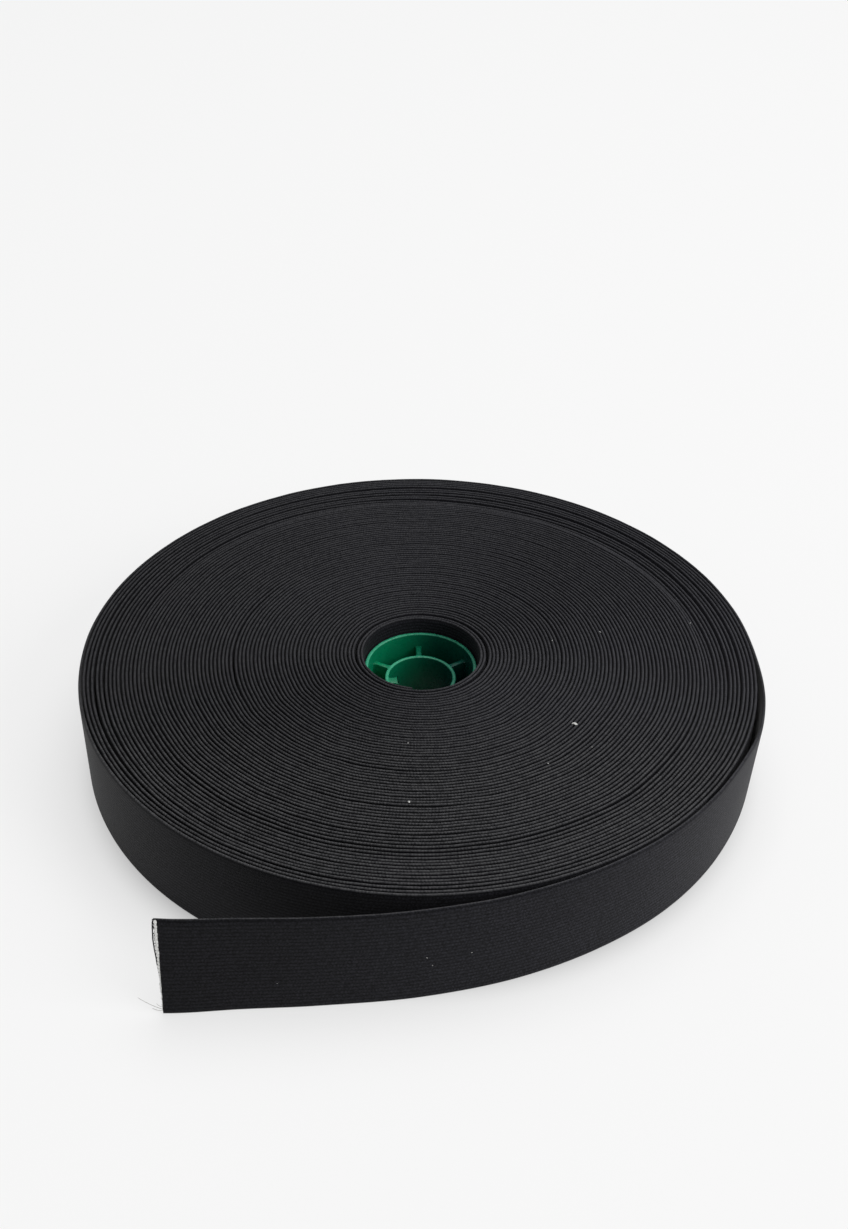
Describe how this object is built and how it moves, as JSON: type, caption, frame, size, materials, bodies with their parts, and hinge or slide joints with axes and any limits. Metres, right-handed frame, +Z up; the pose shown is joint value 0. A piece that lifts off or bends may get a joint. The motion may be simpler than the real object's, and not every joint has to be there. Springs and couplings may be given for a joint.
{
  "type": "roll of elastic",
  "caption": "Flat roll of black elastic band wound on a short green plastic core, with its loose end curving off the front and standing on its edge.",
  "frame": {"origin": "middle of the model's footprint, loose end included, on the surface that the roll lies on", "axes": "+Z up along the core's axis, -Y towards the side where the loose end runs off, +X towards the side where it leaves the roll"},
  "size_m": [0.2734, 0.2904, 0.04],
  "materials": {
    "elastic": "matte ribbed weave",
    "core_plastic": "satin moulded"
  },
  "bodies": {
    "root": {"wound_roll": "elastic", "loose_end": "elastic", "core": "core_plastic"}
  },
  "joints": []
}
